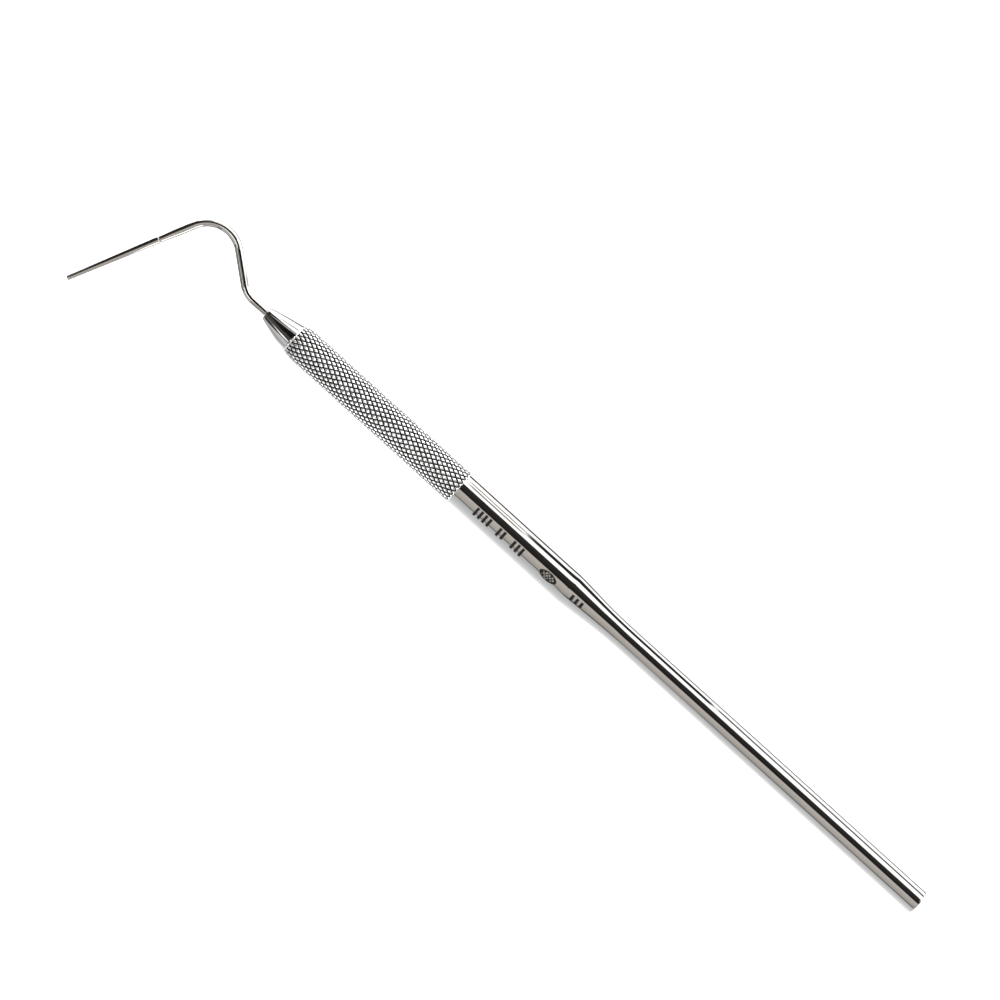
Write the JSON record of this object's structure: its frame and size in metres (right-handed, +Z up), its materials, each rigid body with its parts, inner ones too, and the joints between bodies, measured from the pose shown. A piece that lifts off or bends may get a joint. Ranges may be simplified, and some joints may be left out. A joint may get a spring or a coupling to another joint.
{
  "type": "root canal plugger",
  "caption": "Straight polished steel dental hand instrument: knurled grip, slim plain rod and a bent, tapered wire working end with a depth ring and a blunt flat tip.",
  "frame": {"origin": "middle of the whole tool's bounding box, on the table it lies on", "axes": "+X along the level handle axis from the butt to the working end, +Y to the side the bent tip points to, +Z up from the table"},
  "size_m": [0.1778, 0.025, 0.0063],
  "materials": {
    "handle_steel": "mirror-polished stainless steel, with a bright knurl",
    "wire_steel": "polished hardened stainless steel wire",
    "braze": "dull silver braze, polished flush"
  },
  "bodies": {
    "root": {"handle": "handle_steel", "working_tip": "wire_steel", "braze_joint": "braze"}
  },
  "joints": []
}
